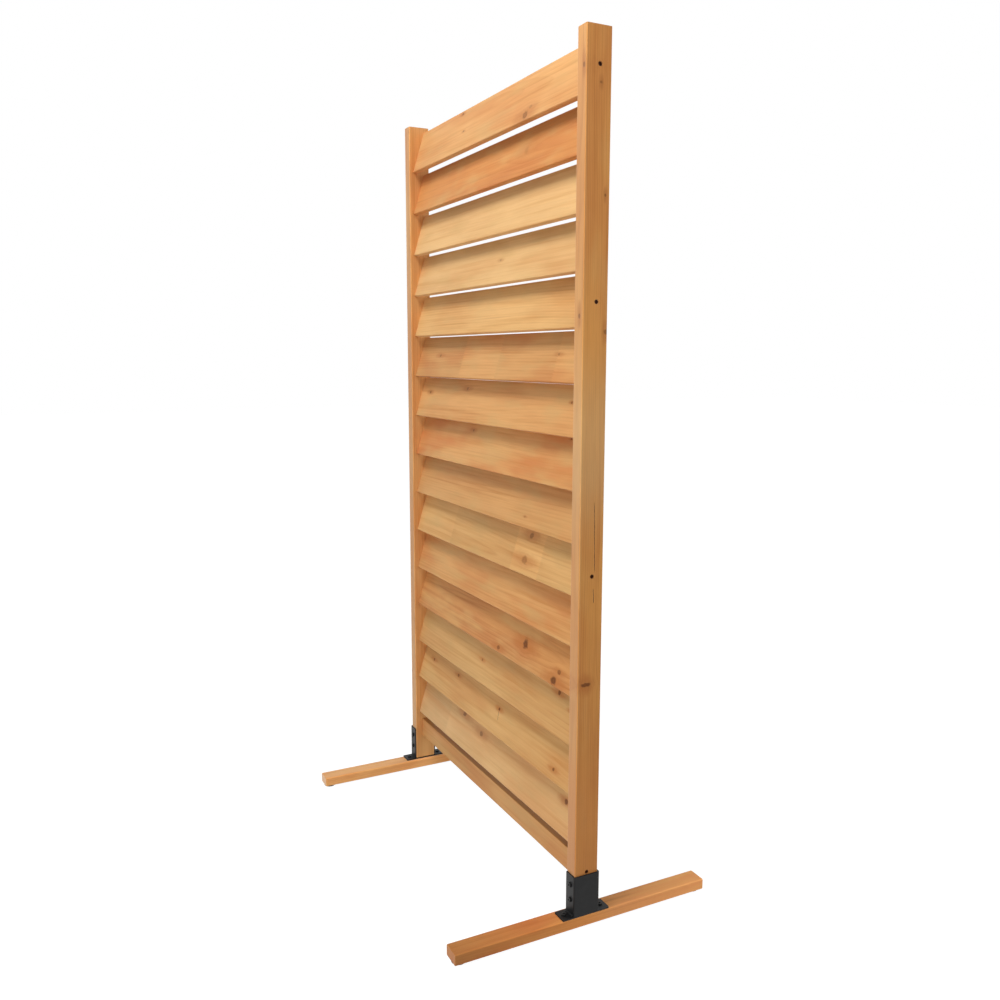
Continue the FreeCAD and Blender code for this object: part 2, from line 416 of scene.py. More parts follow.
class WoodSheet(NodeSheet):
    """The nodes of one board's material."""

    def __init__(self, owner: bpy.types.Material, timber: Timber, half: Vector, edge_radius: float) -> None:
        """Starts with the place in the board.

        Args:
            owner: The material.
            timber: The board's timber.
            half: Half the board's size along, across and through.
            edge_radius: The radius of its eased edges.
        """
        super().__init__(owner)
        self.timber = timber
        self.half = half
        self.edge_radius = edge_radius
        self.place = self.node("ShaderNodeAttribute", attribute_name=GRAIN).outputs["Vector"]
        self.along, self.across, self.through = (self.part(self.place, axis) for axis in range(3))

    def figure(self, layer: Layer) -> tuple[Socket, Socket]:
        """Adds a layer of the figure, cut at another place for each board.

        Args:
            layer: The layer.

        Returns:
            Its value and its colour.
        """
        figure, seed = layer.value, self.timber.seed
        scale = (figure.along, figure.aside, figure.aside)
        cut = (seed * 7.3 + figure.step, seed * 3.1 - figure.step, seed * 1.7 + figure.step * 2)
        stretched = self.vector("MULTIPLY_ADD", self.place, scale, cut)
        return self.noise(stretched, detail=figure.detail, roughness=figure.roughness)

    def paint(self) -> None:
        """Adds the colour, the gloss and the relief."""
        timber = self.timber
        layers = (Layer.WANDER, Layer.FIBRES, Layer.STREAKS, Layer.PATCHES, Layer.FLECKS)
        wander, fibres, streaks, patches, flecks = (self.figure(layer)[0] for layer in layers)
        bend, heart, rim, halo = self.knots(wander)
        length_tone, length_shift = self.joints()
        rings = self.rings(bend, length_shift)
        colour = self.scaled(self.stained(rings, streaks, patches), self.shade(fibres, patches, length_tone))
        relief = self.maths("MULTIPLY_ADD", rings, -0.35, fibres)
        marks = [(self.remap(flecks, 0.58, 0.8, 0.0, timber.fleck), timber.fleck_colour)]
        # Painted shade: the upper narrow face darkens towards its top, where the board above would shade it.
        if timber.painted_top_shade:
            rise = (self.half.y - self.edge_radius, self.half.y - 0.1 * MM)
            marks.append((self.remap(self.across, *rise, 0.0, timber.painted_top_shade), timber.painted_top_shade_colour))
        if timber.knots:
            marks += [(halo, timber.halo_colour), (heart, timber.knot_heart), (rim, timber.knot_rim)]
        if timber.checks:
            cracks = self.cracks(wander)
            marks.append((cracks, timber.crack_colour))
            relief = self.maths("MULTIPLY_ADD", cracks, -2.0, relief)
        for share, tint in marks:
            colour = self.blend(share, colour, tint)
        roughness = self.maths("MULTIPLY_ADD", streaks, 0.2, 0.4)
        self.surface(colour, roughness, relief, timber.relief, timber.gloss, timber.bloom)

    def stained(self, rings: Socket, streaks: Socket, patches: Socket) -> Socket:
        """Adds the stain as the early and the late wood take it up, with the bands, some of which are painted
        light.

        Args:
            rings: The late wood of the growth rings.
            streaks: A noise for darker streaks.
            patches: A noise for redder patches.

        Returns:
            The stained colour.
        """
        timber, tones = self.timber, self.timber.tones.value
        show = self.remap(patches, 0.3, 0.65, 0.5 * timber.contrast, 1.6 * timber.contrast)
        late = self.maths("MULTIPLY", rings, show)
        late = self.maths("ADD", late, self.remap(streaks, 0.45, 0.75, 0.0, 0.45), clamp=True)
        colour = self.blend(late, tones.pale, tones.deep)
        colour = self.blend(self.remap(patches, 0.38, 0.7, 0.0, timber.redness), colour, tones.blush)
        clouds = self.remap(self.figure(Layer.CLOUDS)[0], 0.46, 0.72, 0.0, timber.smoke)
        colour = self.blend(clouds, colour, timber.cool)
        # Bands of another colour: some are sapwood and heartwood, some are painted light.
        for band in timber.bands:
            place = (self.along, self.across, self.through)[band.axis]
            edge = self.maths("MULTIPLY_ADD", patches, band.sway * MM, place)
            share = self.remap(edge, band.start * MM, band.end * MM, 0.0, band.share)
            if band.fade:
                gone = self.remap(edge, band.fade[0] * MM, band.fade[1] * MM, 1.0, 0.0)
                share = self.maths("MULTIPLY", share, gone)
            colour = self.blend(share, colour, band.colour)
        return colour

    def shade(self, fibres: Socket, patches: Socket, length_tone: Socket | float) -> Socket:
        """Adds what makes the board lighter or darker, with its lighter edges, partly sanded wear and partly
        a painted highlight, and its thirsty end grain.

        Args:
            fibres: A noise for the fibres.
            patches: A noise for darker patches.
            length_tone: The tone of each jointed length.

        Returns:
            A factor for the colour.
        """
        tone = self.maths("MULTIPLY_ADD", self.along, self.timber.drift / (2 * self.half.x), self.timber.tone)
        size = self.vector("ABSOLUTE", self.place)
        radius, half = self.edge_radius, self.half
        # The rounded edges are made lighter: partly sanded wear, partly a painted highlight.
        rim = [self.remap(self.part(size, axis), half[axis] - radius * 1.1, half[axis] - radius * 0.1)
               for axis in (1, 2)]
        wear_and_highlight = self.maths("MULTIPLY", rim[0], rim[1])
        reach = (half.x - 1.2 * MM, half.x - 0.2 * MM)
        factors = (self.maths("MULTIPLY_ADD", patches, -0.2, 1.1),
                   self.maths("ADD", tone, length_tone),
                   self.maths("MULTIPLY_ADD", wear_and_highlight, self.timber.edge_lift, 1.0),
                   self.remap(self.part(size, 0), *reach, 1.0, self.timber.end_tone))
        shade = self.maths("MULTIPLY_ADD", fibres, 0.2, 0.9)
        for factor in factors:
            shade = self.maths("MULTIPLY", shade, factor)
        return shade

    def knots(self, wander: Socket) -> tuple[object, object, object, object]:
        """Adds the knots.

        Args:
            wander: A noise that makes outlines uneven.

        Returns:
            How far the grain is pushed aside, and the masks of hearts, dark rims and halos.
        """
        bend, heart, rim, halo = 0.0, 0.0, 0.0, 0.0
        for knot in self.timber.knots:
            radius = knot.radius * MM
            side = Vector(knot.axis.value)
            scale = (1.0 / knot.stretch, side.y, side.z)
            shift = (-knot.along * MM / knot.stretch, -knot.aside * MM * side.y, -knot.aside * MM * side.z)
            offset = self.vector("MULTIPLY_ADD", self.place, scale, shift)
            rough = self.maths("MULTIPLY", self.maths("SUBTRACT", wander, 0.5), radius * 1.1)
            distance = self.maths("ADD", rough, self.vector("LENGTH", offset))
            if knot.axis is KnotAxis.THROUGH:
                spread = self.maths("ADD", self.maths("POWER", distance, 2.0), radius * radius * 0.5)
                push = self.maths("DIVIDE", radius * radius * 1.1, spread)
                bend = self.maths("SUBTRACT", bend, self.maths("MULTIPLY", push, self.part(offset, 1)))
            core = self.remap(distance, radius * 1.3, radius * 0.3, 0.0, knot.dark)
            bark = self.maths("ABSOLUTE", self.maths("SUBTRACT", distance, radius * 0.6))
            bark = self.remap(bark, radius * 0.5, 0.0, 0.0, knot.dark * knot.bark)
            drawn_out = self.vector("LENGTH", self.vector("MULTIPLY", offset, (0.35, 1.0, 1.0)))
            drawn_out = self.maths("ADD", drawn_out, rough)
            glow = self.remap(drawn_out, radius * 2.6, radius * 0.6, 0.0, 0.25 + 0.5 * knot.dark)
            heart, rim, halo = (self.maths("MAXIMUM", *pair)
                                for pair in ((heart, core), (rim, bark), (halo, glow)))
        return bend, heart, rim, halo

    def joints(self) -> tuple[object, object]:
        """Adds the finger joints, whose zigzag shows where the wood changes.

        Returns:
            The tone of each length and the shift of its rings.
        """
        tone, shift = 0.0, 0.0
        if self.timber.joints:
            fingers = self.maths("PINGPONG", self.across, 1.9 * MM)
            along = self.maths("MULTIPLY_ADD", fingers, 4.2, self.along)
        for joint in self.timber.joints:
            beyond = self.remap(along, joint.along * MM, (joint.along + 0.6) * MM)
            tone = self.maths("MULTIPLY_ADD", beyond, joint.tone, tone)
            shift = self.maths("MULTIPLY_ADD", beyond, 0.37 + joint.tone, shift)
        return tone, shift

    def rings(self, bend: object, shift: object) -> Socket:
        """Adds the growth rings round the log's heart.

        Args:
            bend: How far knots push the grain aside.
            shift: How the wood of a jointed length differs.

        Returns:
            The late wood, from 0 to 1.
        """
        drift, shake = self.figure(Layer.DRIFT)[1], self.figure(Layer.SHAKE)[1]
        moved = self.vector("MULTIPLY_ADD", drift, (0.0, 70 * MM, 50 * MM), self.place)
        moved = self.vector("MULTIPLY_ADD", shake, (0.0, 1.2 * MM, 1.2 * MM), moved)
        pushed = {1: self.maths("MULTIPLY_ADD", shift, 40 * MM, bend),
                  2: self.maths("MULTIPLY", shift, 25 * MM)}
        moved = self.vector("ADD", moved, self.node("ShaderNodeCombineXYZ", pushed).outputs[0])
        heart = ((self.timber.pith[0] + 35.0) * MM, (self.timber.pith[1] + 25.0) * MM)
        from_heart = self.vector("MULTIPLY_ADD", moved, (0.0, 1.0, 1.0), (0.0, -heart[0], -heart[1]))
        width = self.timber.ring_width * MM
        count = self.maths("MULTIPLY", self.vector("LENGTH", from_heart), 1.0 / width)
        year = self.node("ShaderNodeTexWhiteNoise", {"W": self.maths("FLOOR", count)}, noise_dimensions="1D")
        season = ((0.0, 0.05), (0.4, 0.15), (0.82, 0.8), (0.93, 1.0), (1.0, 0.05))
        growth = self.ramp(self.maths("FRACT", count), season)
        return self.maths("MULTIPLY", growth, self.maths("MULTIPLY_ADD", year.outputs[0], 0.75, 0.25))

    def cracks(self, wander: Socket) -> Socket | float:
        """Adds the fine cracks in the outer face.

        Args:
            wander: A noise that makes the cracks uneven.

        Returns:
            The cracks' mask.
        """
        mask = 0.0
        face = self.remap(self.through, self.half.z - 4 * MM, self.half.z - 2 * MM)
        for check in self.timber.checks:
            start, end = Vector(check.start) * MM, Vector(check.end) * MM
            run = (end - start).normalized()
            middle = (start + end) / 2
            reach = (end - start).length / 2
            along = self.vector("DOT_PRODUCT", self.place, (run.x, run.y, 0.0))
            along = self.maths("ABSOLUTE", self.maths("SUBTRACT", along, run.dot(middle)))
            aside = self.vector("DOT_PRODUCT", self.place, (-run.y, run.x, 0.0))
            aside = self.maths("SUBTRACT", aside, run.x * middle.y - run.y * middle.x)
            aside = self.maths("MULTIPLY_ADD", wander, 3 * MM, self.maths("SUBTRACT", aside, 1.5 * MM))
            line = self.remap(self.maths("ABSOLUTE", aside), check.width * MM, check.width * 0.4 * MM)
            line = self.maths("MULTIPLY", line, self.remap(along, reach, reach * 0.8))
            mask = self.maths("MAXIMUM", mask, self.maths("MULTIPLY", line, face))
        return mask


@dataclass(frozen=True)
class CoatedSteel:
    """Black powder coat or a screw's finish, with a fine texture and paler clouds.

    Attributes:
        rubbed: The colour of the paler clouds.
        texture, depth: How often in a metre the texture repeats, and how deep it is.
        specular: How much it shines.
    """

    colour: Colour = stain(20, 20, 21)
    rubbed: Colour = stain(36, 36, 37)
    roughness: float = 0.42
    texture: float = 1800.0
    depth: float = 0.05 * MM
    specular: float = 0.22

    def material(self, name: str) -> bpy.types.Material:
        """Builds the material.

        Args:
            name: The material's name.

        Returns:
            The material.
        """
        sheet, finish = NodeSheet.material(name)
        place = sheet.node("ShaderNodeTexCoord").outputs["Object"]
        grit = sheet.noise(place, self.texture, detail=2.0)[0]
        clouds = sheet.noise(place, 45.0, detail=3.0)[0]
        colour = sheet.blend(sheet.remap(clouds, 0.35, 0.8, 0.0, 0.5), self.colour, self.rubbed)
        colour = sheet.blend(sheet.remap(grit, 0.3, 0.7, 0.0, 0.25), colour, self.rubbed)
        roughness = sheet.maths("MULTIPLY_ADD", clouds, 0.2, self.roughness - 0.1)
        sheet.surface(colour, roughness, grit, self.depth, specular=self.specular)
        return finish


@dataclass(frozen=True)
class GlideRubber:
    """Matte black rubber with a faint bloom."""

    colour: Colour = stain(34, 34, 35)
    bloom: Colour = stain(62, 61, 60)

    def material(self, name: str) -> bpy.types.Material:
        """Builds the material.

        Args:
            name: The material's name.

        Returns:
            The material.
        """
        sheet, finish = NodeSheet.material(name)
        place = sheet.node("ShaderNodeTexCoord").outputs["Object"]
        dust = sheet.noise(place, 160.0, detail=4.0)[0]
        colour = sheet.blend(sheet.remap(dust, 0.45, 0.8, 0.0, 0.6), self.colour, self.bloom)
        sheet.surface(colour, sheet.maths("MULTIPLY_ADD", dust, 0.2, 0.7), dust, 0.08 * MM)
        return finish


# ---------------------------------------------------------------- bench work

def deselect() -> None:
    """Leaves nothing selected, in object mode."""
    if bpy.context.object and bpy.context.object.mode != "OBJECT":
        bpy.ops.object.mode_set(mode="OBJECT")
    bpy.ops.object.select_all(action="DESELECT")


def take(piece: Piece) -> None:
    """Makes one piece the only one selected and active.

    Args:
        piece: The piece.
    """
    deselect()
    piece.select_set(True)
    bpy.context.view_layer.objects.active = piece


def settle(piece: Piece, placement: Matrix | None = None) -> Piece:
    """Puts a piece in its place and keeps that place in its mesh.

    Args:
        piece: The piece.
        placement: Where it goes, or None where it stands there already.

    Returns:
        The same piece, with its object at the origin.
    """
    take(piece)
    if placement is not None:
        piece.matrix_world = placement
    bpy.ops.object.transform_apply(location=True, rotation=True, scale=True)
    return piece


def block(name: str, size: Vector, centre: Vector = ORIGIN) -> Piece:
    """A sawn block, which is a start for shaping.

    Args:
        name: The piece's name.
        size: Its full size.
        centre: Its middle.

    Returns:
        The block, with its place in its mesh.
    """
    deselect()
    bpy.ops.mesh.primitive_cube_add(size=1.0, location=centre, scale=size)
    piece = settle(bpy.context.object)
    piece.name = piece.data.name = name
    return piece


def rod(name: str, radius: float, depth: float, axis: Vector, centre: Vector = ORIGIN,
        sides: int = 32) -> Piece:
    """A round rod, used as a drill or a bead.

    Args:
        name: The piece's name.
        radius: Its radius.
        depth: Its length.
        axis: The way that it points.
        centre: Its middle.
        sides: How many sides it has.

    Returns:
        The rod, with its place in its mesh.
    """
    deselect()
    turn = axis.to_track_quat("Z", "Y").to_euler()
    bpy.ops.mesh.primitive_cylinder_add(vertices=sides, radius=radius, depth=depth, location=centre,
                                        rotation=turn)
    piece = settle(bpy.context.object)
    piece.name = piece.data.name = name
    return piece


def copy_of(piece: Piece, name: str) -> Piece:
    """A copy of a piece, with its own mesh.

    Args:
        piece: The piece.
        name: The copy's name.

    Returns:
        The copy.
    """
    take(piece)
    bpy.ops.object.duplicate(linked=False)
    copy = bpy.context.object
    copy.name = copy.data.name = name
    return copy


def copies(piece: Piece, placements: Sequence[Matrix]) -> list[Piece]:
    """Copies a shape that repeats to all its places, and clears the first one away.

    Args:
        piece: The shape, modelled round the origin.
        placements: Where the copies go.

    Returns:
        The copies, each with its own mesh.
    """
    made = [settle(copy_of(piece, f"{piece.name}_{index}"), placement)
            for index, placement in enumerate(placements)]
    bpy.data.objects.remove(piece)
    return made


def mirrored(piece: Piece, name: str) -> Piece:
    """A copy of a piece on the other side of the screen.

    Args:
        piece: The piece.
        name: The copy's name.

    Returns:
        The copy, with its own mesh and its faces pointing outwards.
    """
    copy = copy_of(piece, name)
    copy.scale.x = -1.0
    settle(copy)
    bpy.ops.object.mode_set(mode="EDIT")
    bpy.ops.mesh.select_all(action="SELECT")
    bpy.ops.mesh.normals_make_consistent(inside=False)
    bpy.ops.object.mode_set(mode="OBJECT")
    return copy


def choose_edges(piece: Piece, wanted: EdgeTest) -> None:
    """Goes into edit mode with only the wanted edges selected.

    Args:
        piece: The piece.
        wanted: Says from an edge's two ends whether it is selected.
    """
    take(piece)
    bpy.ops.object.mode_set(mode="EDIT")
    bpy.ops.mesh.select_mode(type="EDGE")
    bpy.ops.mesh.select_all(action="DESELECT")
    mesh = bmesh.from_edit_mesh(piece.data)
    for edge in mesh.edges:
        edge.select_set(wanted(edge.verts[0].co, edge.verts[1].co))
    mesh.select_flush_mode()
    bmesh.update_edit_mesh(piece.data)


def runs_along(axis: int) -> EdgeTest:
    """A test for edges that run along one axis."""
    others = [a for a in range(3) if a != axis]
    return lambda a, b: all(abs(a[o] - b[o]) < HAIR for o in others) and abs(a[axis] - b[axis]) > HAIR


def lies_at(axis: int, *levels: float) -> EdgeTest:
    """A test for edges that lie in one of some planes across an axis."""
    return lambda a, b: any(max(abs(a[axis] - level), abs(b[axis] - level)) < HAIR for level in levels)


def bevel_edges(piece: Piece, wanted: EdgeTest, radius: float, segments: int) -> None:
    """Rounds the wanted edges.

    Args:
        piece: The piece.
        wanted: The test for the edges.
        radius: The rounding's radius.
        segments: How many faces the rounding has.
    """
    choose_edges(piece, wanted)
    bpy.ops.mesh.bevel(offset=radius, segments=segments, profile=0.5, affect="EDGES")
    bpy.ops.object.mode_set(mode="OBJECT")


def divide_edges(piece: Piece, axis: int, cuts: int) -> None:
    """Cuts the long edges of a piece into short lengths.

    Args:
        piece: The piece.
        axis: The axis that the edges run along.
        cuts: How many cuts each gets.
    """
    choose_edges(piece, runs_along(axis))
    bpy.ops.mesh.subdivide(number_cuts=cuts)
    bpy.ops.object.mode_set(mode="OBJECT")


def modify(piece: Piece, kind: str, **settings: object) -> None:
    """Adds a modifier and applies it.

    Args:
        piece: The piece.
        kind: The modifier's type.
        **settings: Its settings.
    """
    take(piece)
    bpy.ops.object.modifier_add(type=kind)
    modifier = piece.modifiers[-1]
    for key, value in settings.items():
        setattr(modifier, key, value)
    bpy.ops.object.modifier_apply(modifier=modifier.name)


def cut_away(piece: Piece, tools: Sequence[Piece], union: bool = False) -> None:
    """Cuts tools out of a piece, or welds them to it, and clears the tools away.

    Args:
        piece: The piece.
        tools: The shapes that are taken away or added.
        union: Whether they are added.
    """
    deselect()
    for tool in tools:
        tool.select_set(True)
    bpy.context.view_layer.objects.active = tools[0]
    if len(tools) > 1:
        bpy.ops.object.join()
    joined = bpy.context.view_layer.objects.active
    modify(piece, "BOOLEAN", operation="UNION" if union else "DIFFERENCE", solver="EXACT",
           use_self=union, object=joined)
    bpy.data.objects.remove(joined)


def soften(piece: Piece, angle: float = 35.0) -> None:
    """Shades a piece smooth across its roundings and flat across its faces.

    Args:
        piece: The piece.
        angle: The angle in degrees past which an edge stays sharp.
    """
    take(piece)
    bpy.ops.object.shade_smooth_by_angle(angle=math.radians(angle))
    modify(piece, "WEIGHTED_NORMAL", keep_sharp=True)


def fit(piece: Piece, material: bpy.types.Material, slot: str, *nodes: str) -> None:
    """Dresses a finished piece and fixes it to the frame.

    Args:
        piece: The piece.
        material: Its material.
        slot: The record's material slot; it is not used.
        *nodes: The CAD nodes that it stands for.
    """
    piece.data.materials.clear()
    piece.data.materials.append(material)
    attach(piece, "root")
    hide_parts(*nodes)
    log.info("%s: %d faces", piece.name, len(piece.data.polygons))


def redress(node: str, material: bpy.types.Material) -> None:
    """Gives a CAD node that stays its finish.

    Args:
        node: The CAD node.
        material: Its material.
    """
    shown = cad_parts[node]
    for slot in shown.material_slots:
        slot.material = material
    if not shown.material_slots:
        shown.data.materials.append(material)
    log.info("%s: kept, with %s", node, material.name)


# ---------------------------------------------------------------- places

class Side(Enum):
    """A side of the screen as seen from the front, and the way it lies from the middle."""

    RIGHT = 1.0
    LEFT = -1.0

    def node(self, group: str) -> str:
        """The name of this side's CAD node of a group."""
        return f"{group}_{self.name.lower()}"


def middle_of(node: str) -> Vector:
    """The middle of a CAD node's box."""
    low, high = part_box(node)
    return (low + high) / 2


def span_of(node: str) -> Vector:
    """The size of a CAD node's box."""
    low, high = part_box(node)
    return high - low


def turned(centre: Vector, along: Vector, across: Vector) -> Matrix:
    """The placement of a piece with its middle at the centre and its grain and width along two directions."""
    columns = Matrix((along, across, along.cross(across))).transposed()
    return Matrix.Translation(centre) @ columns.to_4x4()


def screw_middles(node: str, spacing: float = 15 * MM) -> list[Vector]:
    """The middles of the screws in a group, where screws at one height count as one.

    Args:
        node: The group's CAD node.
        spacing: More than this between two heights means another screw.

    Returns:
        One point for each height, from the top down.
    """
    points = [vertex.co.copy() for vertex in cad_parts[node].data.vertices]
    points.sort(key=lambda point: -point.z)
    groups: list[list[Vector]] = [[points[0]]]
    for point in points[1:]:
        if groups[-1][-1].z - point.z > spacing:
            groups.append([])
        groups[-1].append(point)
    middles = []
    for group in groups:
        low = Vector(min(point[axis] for point in group) for axis in range(3))
        high = Vector(max(point[axis] for point in group) for axis in range(3))
        middles.append((low + high) / 2)
    return middles


# ---------------------------------------------------------------- timber

@dataclass
class Blank:
    """A planed length of timber round the origin, modelled once for all pieces of its size.

    Attributes:
        size: Its size along, across and through.
        edge_radius, end_radius: The radii of its long edges and its end edges.
        cuts: How many cuts divide its long faces.
    """

    size: Vector
    edge_radius: float
    end_radius: float
    cuts: int = 23

    @cached_property
    def piece(self) -> Piece:
        """The blank itself, with eased edges.

        Returns:
            The piece that others are copied from.
        """
        piece = block("blank", self.size)
        bevel_edges(piece, runs_along(0), self.edge_radius, 5)
        bevel_edges(piece, lies_at(0, -self.size.x / 2, self.size.x / 2), self.end_radius, 2)
        divide_edges(piece, 0, self.cuts)
        return piece

    def clear(self) -> None:
        """Clears the blank away."""
        bpy.data.objects.remove(self.piece)


@dataclass
class TimberPiece:
    """A length of timber, copied lying flat and then put in its place.

    Attributes:
        node, slot: The CAD node that it stands for, and the record's material slot.
        blank: The blank that it is copied from.
        placement: Where its middle goes and how it is turned.
        finish: Its timber.
        bow, wear: How far it may bow and how deep the wear on its sanded edges may go.
        bow_rate, twist_rate, wear_rates: How often in a metre these change, for wear along and across.
    """

    node: str
    blank: Blank
    placement: Matrix
    finish: Timber
    slot: str
    bow: float = 0.0
    wear: float = 0.15 * MM
    bow_rate: float = 2.3
    twist_rate: float = 1.7
    wear_rates: tuple[float, float] = (45.0, 30.0)

    def shape(self) -> Piece:
        """Copies the blank and lets the copy move a little as real wood does.

        Returns:
            The piece in its place.
        """
        piece = copy_of(self.blank.piece, f"{self.node}_timber")
        if self.bow:
            self._season(piece)
        return settle(piece, self.placement)

    def _season(self, piece: Piece) -> None:
        """Bows the piece between its ends and makes its sanded edges uneven.

        Args:
            piece: The piece, lying flat.
        """
        half, radius, seed = self.blank.size / 2, self.blank.edge_radius, self.finish.seed
        for vertex in piece.data.vertices:
            along, across, through = vertex.co
            held = 1.0 - min(1.0, abs(along) / half.x) ** 4
            bow = noise.noise(Vector((along * self.bow_rate, seed * 5.1, 0.0)))
            twist = noise.noise(Vector((along * self.twist_rate, seed * 2.7, 4.0))) * across / half.y
            vertex.co.z += self.bow * held * (bow + 0.6 * twist)
            if abs(across) > half.y - radius and abs(through) > half.z - radius:
                place = Vector((along * self.wear_rates[0], across * self.wear_rates[1], seed))
                depth = max(0.0, noise.noise(place) + 0.25) * self.wear * held
                inward = Vector((0.0, -math.copysign(1.0, across), -math.copysign(1.0, through)))
                vertex.co += inward * depth

    def dress(self, piece: Piece) -> None:
        """Notes each point's place in the board for the grain, and puts the finish on.

        Args:
            piece: The shaped piece.
        """
        back = self.placement.inverted()
        grain = piece.data.attributes.new(GRAIN, "FLOAT_VECTOR", "POINT")
        for vertex, entry in zip(piece.data.vertices, grain.data):
            entry.vector = back @ vertex.co
        soften(piece)
        name = f"{self.node}_finish"
        material = self.finish.material(name, self.blank.size / 2, self.blank.edge_radius)
        fit(piece, material, self.slot, self.node)

    def build(self) -> None:
        """Shapes, dresses and fixes the piece."""
        self.dress(self.shape())


@dataclass
class Louvres:
    """The fifteen fixed boards, all leaning back alike, and the rail below them.

    Attributes:
        timbers, rail_timber: The finish of each board from the top down, and the rail's.
        count, width, thickness: How many boards there are, and a board's width and thickness.
        run: The depth that a leaning board takes up.
        edge_radius, rail_edge_radius: The radii of a board's and the rail's long edges.
        end_radius: The radius of the end edges.
        bow, rail_bow: How far a board and the rail may bow.
    """

    timbers: tuple[Timber, ...]
    rail_timber: Timber
    count: int = 15
    width: float = 108.5 * MM
    thickness: float = 13.5 * MM
    run: float = 43.75 * MM
    edge_radius: float = 2.1 * MM
    rail_edge_radius: float = 2.0 * MM
    end_radius: float = 0.5 * MM
    bow: float = 0.9 * MM
    rail_bow: float = 0.5 * MM

    @property
    def tilt(self) -> float:
        """The angle at which the boards lean back."""
        diagonal = math.hypot(self.width, self.thickness)
        return math.asin(self.run / diagonal) - math.atan(self.thickness / self.width)

    @property
    def size(self) -> Vector:
        """A board's size along, across and through."""
        return Vector((span_of("louvre_01").x, self.width, self.thickness))

    @property
    def nodes(self) -> list[str]:
        """The boards' CAD nodes from the top down."""
        return [f"louvre_{number:02d}" for number in range(1, self.count + 1)]

    def placement(self, node: str) -> Matrix:
        """Where a board goes, with its face side to the front."""
        return turned(middle_of(node), X, Vector((0.0, math.sin(self.tilt), math.cos(self.tilt))))

    def build(self) -> None:
        """Builds the boards and the rail."""
        board = Blank(self.size, self.edge_radius, self.end_radius)
        for node, timber in zip(self.nodes, self.timbers):
            TimberPiece(node, board, self.placement(node), timber, "louvre_timber", self.bow).build()
        board.clear()
        span = span_of("bottom_rail")
        rail = Blank(Vector((span.x, span.z, span.y)), self.rail_edge_radius, self.end_radius)
        placement = turned(middle_of("bottom_rail"), X, Z)
        TimberPiece("bottom_rail", rail, placement, self.rail_timber, "louvre_timber", self.rail_bow).build()
        rail.clear()

    def housing_cutters(self, clearance: float) -> list[Piece]:
        """Shapes that cut the housings for the board ends into the posts.

        Args:
            clearance: The room round each end.

        Returns:
            The cutters.
        """
        grow = Vector((2 * clearance,) * 3)
        board = block("board_cutter", self.size + grow)
        bevel_edges(board, runs_along(0), self.edge_radius + clearance, 4)
        rail = block("rail_cutter", span_of("bottom_rail") + grow, middle_of("bottom_rail"))
        bevel_edges(rail, runs_along(0), self.rail_edge_radius + clearance, 4)
        return copies(board, [self.placement(node) for node in self.nodes]) + [rail]


@dataclass
class Posts:
    """The two upright posts with their housings and screw recesses.

    Attributes:
        louvres: The boards that the posts hold.
        timbers: The finish of each post.
        clearance: The room round the board ends.
        edge_radius, end_radius: The radii of the long edges and the end edges.
        recess_radius, recess_depth, recess_corner: The screw recesses' radius, depth and inner corner.
    """

    louvres: Louvres
    timbers: dict[Side, Timber]
    clearance: float = 0.3 * MM
    edge_radius: float = 2.5 * MM
    end_radius: float = 1.5 * MM
    recess_radius: float = 4.5 * MM
    recess_depth: float = 4.2 * MM
    recess_corner: float = 0.3 * MM

    def build(self) -> None:
        """Builds both posts."""
        span = span_of("post_right")
        blank = Blank(Vector((span.z, span.y, span.x)), self.edge_radius, self.end_radius, cuts=5)
        for side in Side:
            node = side.node("post")
            placement = turned(middle_of(node), Z, -Y * side.value)
            member = TimberPiece(node, blank, placement, self.timbers[side], "post_timber")
            post = member.shape()
            cut_away(post, self.louvres.housing_cutters(self.clearance) + self.recess_drills(side))
            member.dress(post)
        blank.clear()

    def recess_drills(self, side: Side) -> list[Piece]:
        """Drills for the recesses that the post screws sit in.

        Args:
            side: The post's side.

        Returns:
            The drills.
        """
        low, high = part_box(side.node("post"))
        outer = high.x if side is Side.RIGHT else low.x
        drill = rod("recess_drill", self.recess_radius, 2 * self.recess_depth, X)
        bevel_edges(drill, lies_at(0, -side.value * self.recess_depth), self.recess_corner, 2)
        return copies(drill, [Matrix.Translation((outer, point.y, point.z))
                              for point in screw_middles(side.node("post_screws"))])


@dataclass
class Feet:
    """The two flat feet, their glides and the screws that hold them.

    Attributes:
        timbers: The finish of each foot.
        edge_radius, end_radius: The radii of the long edges and the end edges.
        rubber, screw_steel: The finishes of the glides and their screws.
    """

    timbers: dict[Side, Timber]
    edge_radius: float = 3.0 * MM
    end_radius: float = 1.5 * MM
    rubber: GlideRubber = GlideRubber()
    screw_steel: CoatedSteel = CoatedSteel()

    def build(self) -> None:
        """Builds both feet and dresses what is under them."""
        rubber = self.rubber.material("glide_rubber")
        steel = self.screw_steel.material("glide_screw_steel")
        span = span_of("foot_right")
        blank = Blank(Vector((span.y, span.x, span.z)), self.edge_radius, self.end_radius, cuts=11)
        for side in Side:
            node = side.node("foot")
            placement = turned(middle_of(node), Y, -X)
            TimberPiece(node, blank, placement, self.timbers[side], "foot_timber").build()
            redress(side.node("foot_glides"), rubber)
            redress(side.node("glide_screws"), steel)
        blank.clear()


# ---------------------------------------------------------------- steel

